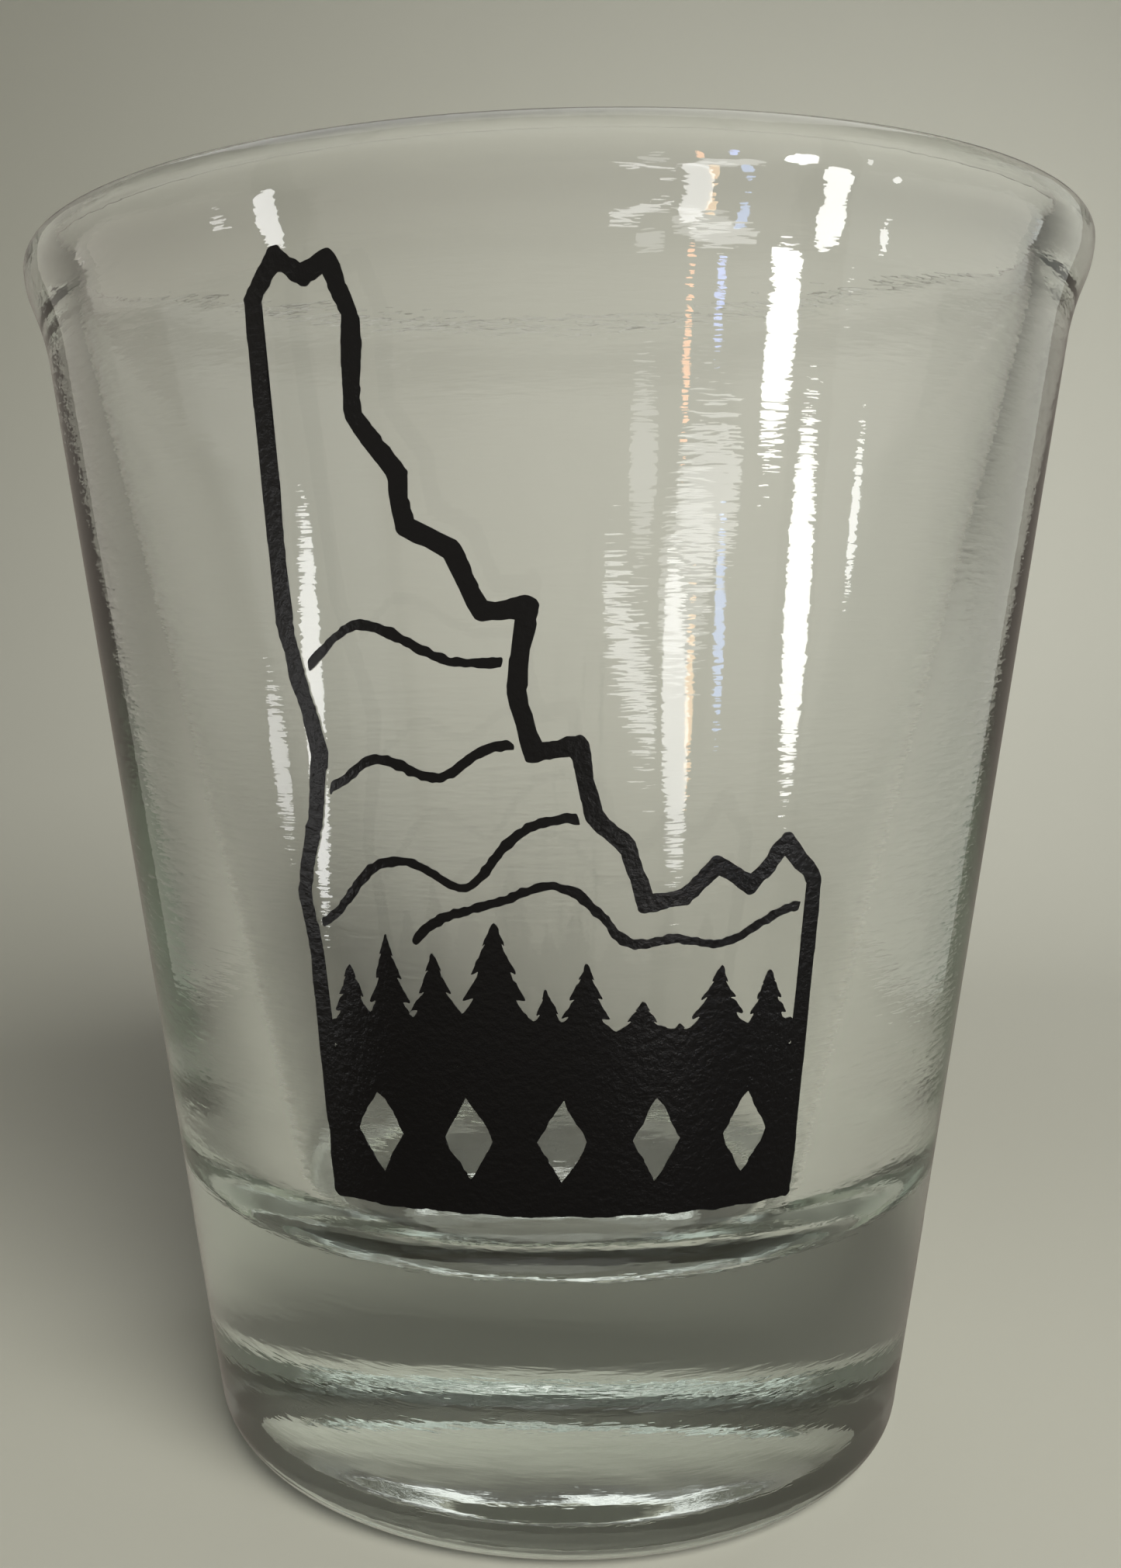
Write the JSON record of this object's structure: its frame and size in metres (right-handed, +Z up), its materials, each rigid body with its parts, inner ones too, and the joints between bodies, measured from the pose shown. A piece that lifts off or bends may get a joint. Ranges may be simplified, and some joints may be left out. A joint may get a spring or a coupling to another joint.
{
  "type": "shot glass",
  "caption": "Small tapered clear drinking glass with a thick solid base, a flared fire polished rim and a black mountain and fir print on the front.",
  "frame": {"origin": "centre of the standing ring, on the surface that the glass stands on", "axes": "+Z up along the glass's turning axis, from foot to rim; the print faces -Y; +X to the right of someone facing the print"},
  "size_m": [0.051, 0.051, 0.059],
  "materials": {
    "clear_glass": "clear pressed soda-lime glass, fire polished, faint green where it is seen edge on",
    "black_enamel": "glossy black fired enamel, screen printed in one thin coat"
  },
  "bodies": {
    "root": {"glass_body": "clear_glass", "print_outline": "black_enamel", "print_band": "black_enamel", "print_forest": "black_enamel", "print_ridge_1": "black_enamel", "print_ridge_2": "black_enamel", "print_ridge_3": "black_enamel", "print_ridge_4": "black_enamel"}
  },
  "joints": []
}
